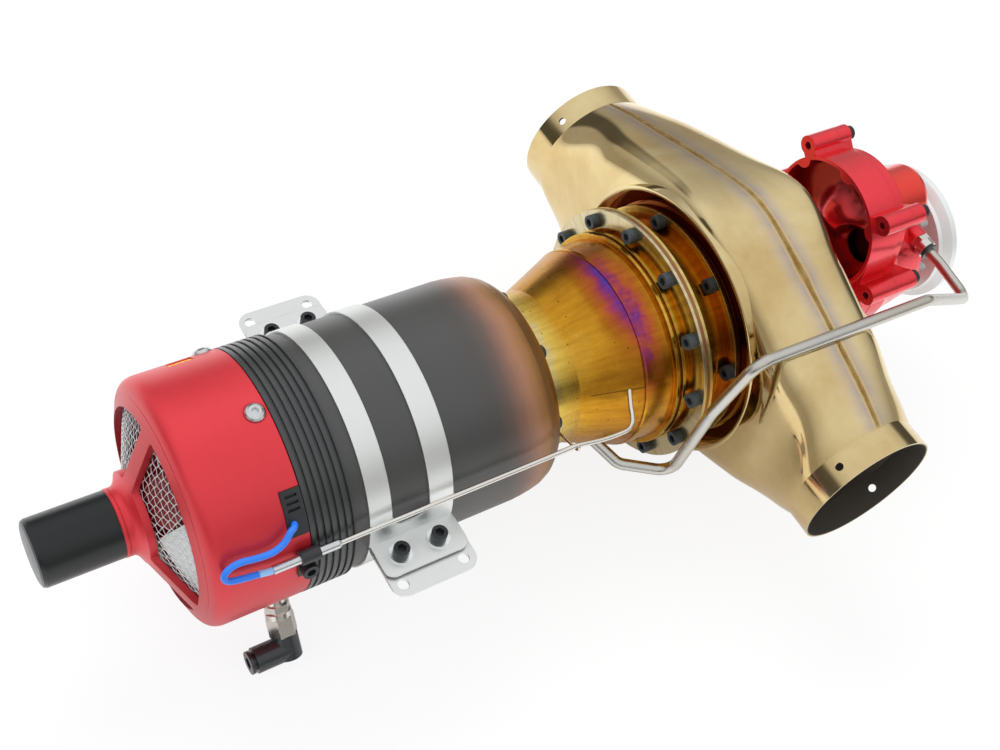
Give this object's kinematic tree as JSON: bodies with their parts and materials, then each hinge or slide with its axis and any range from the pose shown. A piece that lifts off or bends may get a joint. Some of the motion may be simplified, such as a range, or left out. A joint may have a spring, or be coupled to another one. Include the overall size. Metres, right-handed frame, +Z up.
{
  "type": "turboprop engine",
  "caption": "Model turboprop engine: gas generator with strap mount, heat-tinted free turbine section, forked exhaust duct and offset reduction gearbox with propeller flange.",
  "frame": {"origin": "on the shaft line, at the middle of the four holes of the mounting plate, level with the plate's upper face", "axes": "+X along the shaft line to the propeller, +Y across the engine, +Z up, away from the mounting plate"},
  "size_m": [0.3898, 0.195, 0.1143],
  "materials": {
    "starter_black": "satin",
    "shaft_steel": "ground",
    "bearing_steel": "polished",
    "red_anodised": "satin",
    "red_polished": "polished",
    "mesh_steel": "bright",
    "stainless": "brushed",
    "plug_black": "matte",
    "plug_yellow": "gloss",
    "pump_red": "satin",
    "valve_grey": "satin",
    "black_anodised": "satin",
    "case_black": "satin",
    "wheel_aluminium": "machined",
    "hot_alloy": "heat tinted",
    "cone_tinted": "heat tinted",
    "turbine_tinted": "heat tinted",
    "exhaust_gold": "polished, heat tinted",
    "screw_black": "black oxide",
    "tube_steel": "satin",
    "nickel": "nickel plated",
    "fitting_black": "gloss",
    "lead_blue": "satin",
    "clip_black": "satin",
    "prop_silver": "machined"
  },
  "bodies": {
    "engine": {"starter_can": "starter_black", "intake_housing": "red_anodised", "intake_mesh": "mesh_steel", "housing_screws": "stainless", "connector_block": "plug_black", "yellow_plug": "plug_yellow", "fuel_pump": "pump_red", "fuel_valves": "valve_grey", "front_ring": "black_anodised", "engine_case": "case_black", "diffuser": "wheel_aluminium", "bearing_tunnel": "wheel_aluminium", "rotor_bearings": "bearing_steel", "combustor": "hot_alloy", "nozzle_vanes": "hot_alloy", "mount_strap": "stainless", "mount_cradle": "stainless", "strap_screws": "screw_black", "strap_washers": "stainless", "strap_nuts": "stainless", "interstage_cone": "cone_tinted", "cone_screws": "screw_black", "turbine_case": "turbine_tinted", "power_case": "turbine_tinted", "flange_screws": "screw_black", "collar_screws": "screw_black", "power_vanes": "hot_alloy", "power_bearings": "bearing_steel", "power_tunnel": "red_anodised", "exhaust_duct": "exhaust_gold", "outlet_collars": "exhaust_gold", "gear_case": "red_anodised", "output_housing": "red_anodised", "bearing_cap": "red_polished", "gearbox_screws": "screw_black", "lay_bearings": "bearing_steel", "prop_bearings": "bearing_steel", "oil_tube": "tube_steel", "tube_fitting": "nickel", "elbow_stem": "nickel", "probe_rod": "tube_steel", "probe_ferrule": "tube_steel", "blue_lead": "lead_blue", "probe_clip": "clip_black", "clip_screw": "screw_black", "wire_hook": "tube_steel"},
    "gas_rotor": {"compressor_wheel": "wheel_aluminium", "rotor_shaft": "shaft_steel", "turbine_wheel": "hot_alloy"},
    "starter_armature": {"starter_rotor": "shaft_steel"},
    "prop": {"prop_shaft": "shaft_steel", "output_gear": "shaft_steel", "prop_flange": "prop_silver"},
    "lay": {"layshaft": "shaft_steel"},
    "power_rotor": {"power_wheel": "hot_alloy", "power_shaft": "shaft_steel"},
    "elbow": {"elbow_body": "fitting_black"},
    "hose_collet": {"release_collet": "fitting_black"},
    "oil_collet": {"tube_collet": "fitting_black"}
  },
  "joints": [
    {"name": "propeller_shaft", "type": "hinge", "parent": "engine", "child": "prop", "pos_m": [0.26, 0, 0], "axis": [1, 0, 0], "continuous": true},
    {"name": "lay_shaft", "type": "hinge", "parent": "engine", "child": "lay", "pos_m": [0.23, 0, 0.028], "axis": [1, 0, 0], "continuous": true},
    {"name": "power_shaft", "type": "hinge", "parent": "engine", "child": "power_rotor", "pos_m": [0.16, 0, 0], "axis": [1, 0, 0], "continuous": true},
    {"name": "gas_generator_shaft", "type": "hinge", "parent": "engine", "child": "gas_rotor", "pos_m": [0.02, 0, 0], "axis": [1, 0, 0], "continuous": true},
    {"name": "starter_shaft", "type": "hinge", "parent": "engine", "child": "starter_armature", "pos_m": [-0.09, 0, 0], "axis": [1, 0, 0], "continuous": true},
    {"name": "elbow_swivel", "type": "hinge", "parent": "engine", "child": "elbow", "pos_m": [-0.0404, -0.03694, -0.04728], "axis": [0, -0.6157, -0.788], "continuous": true},
    {"name": "hose_release", "type": "slide", "parent": "elbow", "child": "hose_collet", "axis": [1, 0, 0], "range_m": [0, 0.0009], "stiffness_N_per_m": 400, "springref_m": -0.0005},
    {"name": "oil_tube_release", "type": "slide", "parent": "engine", "child": "oil_collet", "axis": [0, 1, 0], "range_m": [0, 0.0007], "stiffness_N_per_m": 400, "springref_m": -0.0005}
  ],
  "couplings": [
    {"joint": "lay_shaft", "follows": "propeller_shaft", "ratio": -2.5},
    {"joint": "power_shaft", "follows": "propeller_shaft", "ratio": 6.25}
  ]
}
